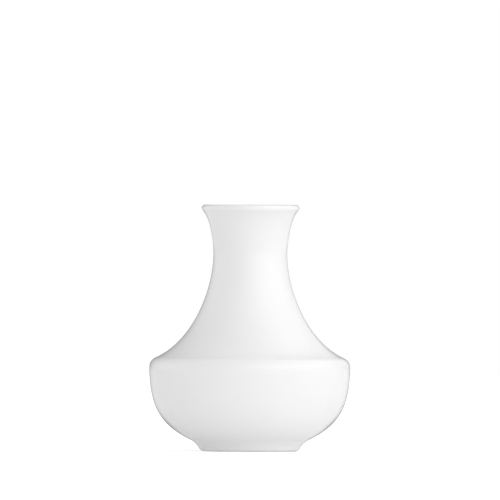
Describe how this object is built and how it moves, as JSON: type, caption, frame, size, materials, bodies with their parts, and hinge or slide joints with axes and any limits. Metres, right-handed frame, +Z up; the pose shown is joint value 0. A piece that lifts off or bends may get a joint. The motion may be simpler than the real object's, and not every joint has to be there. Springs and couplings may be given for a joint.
{
  "type": "flower vase",
  "caption": "White glazed porcelain table vase with a flared lip, slim neck, soft shoulder, round bowl and low foot ring, for a few cut stems.",
  "frame": {"origin": "centre of the ring that the vase stands on, at the surface it stands on", "axes": "+Z up along the axis that the vase is turned about; X and Y are alike"},
  "size_m": [0.1018, 0.1018, 0.125],
  "materials": {
    "bare_porcelain": "matt, unglazed, finely ground",
    "white_glaze": "high gloss"
  },
  "bodies": {
    "root": {"porcelain_body": "bare_porcelain", "outer_glaze": "white_glaze", "inner_glaze": "white_glaze", "recess_glaze": "white_glaze"}
  },
  "joints": []
}
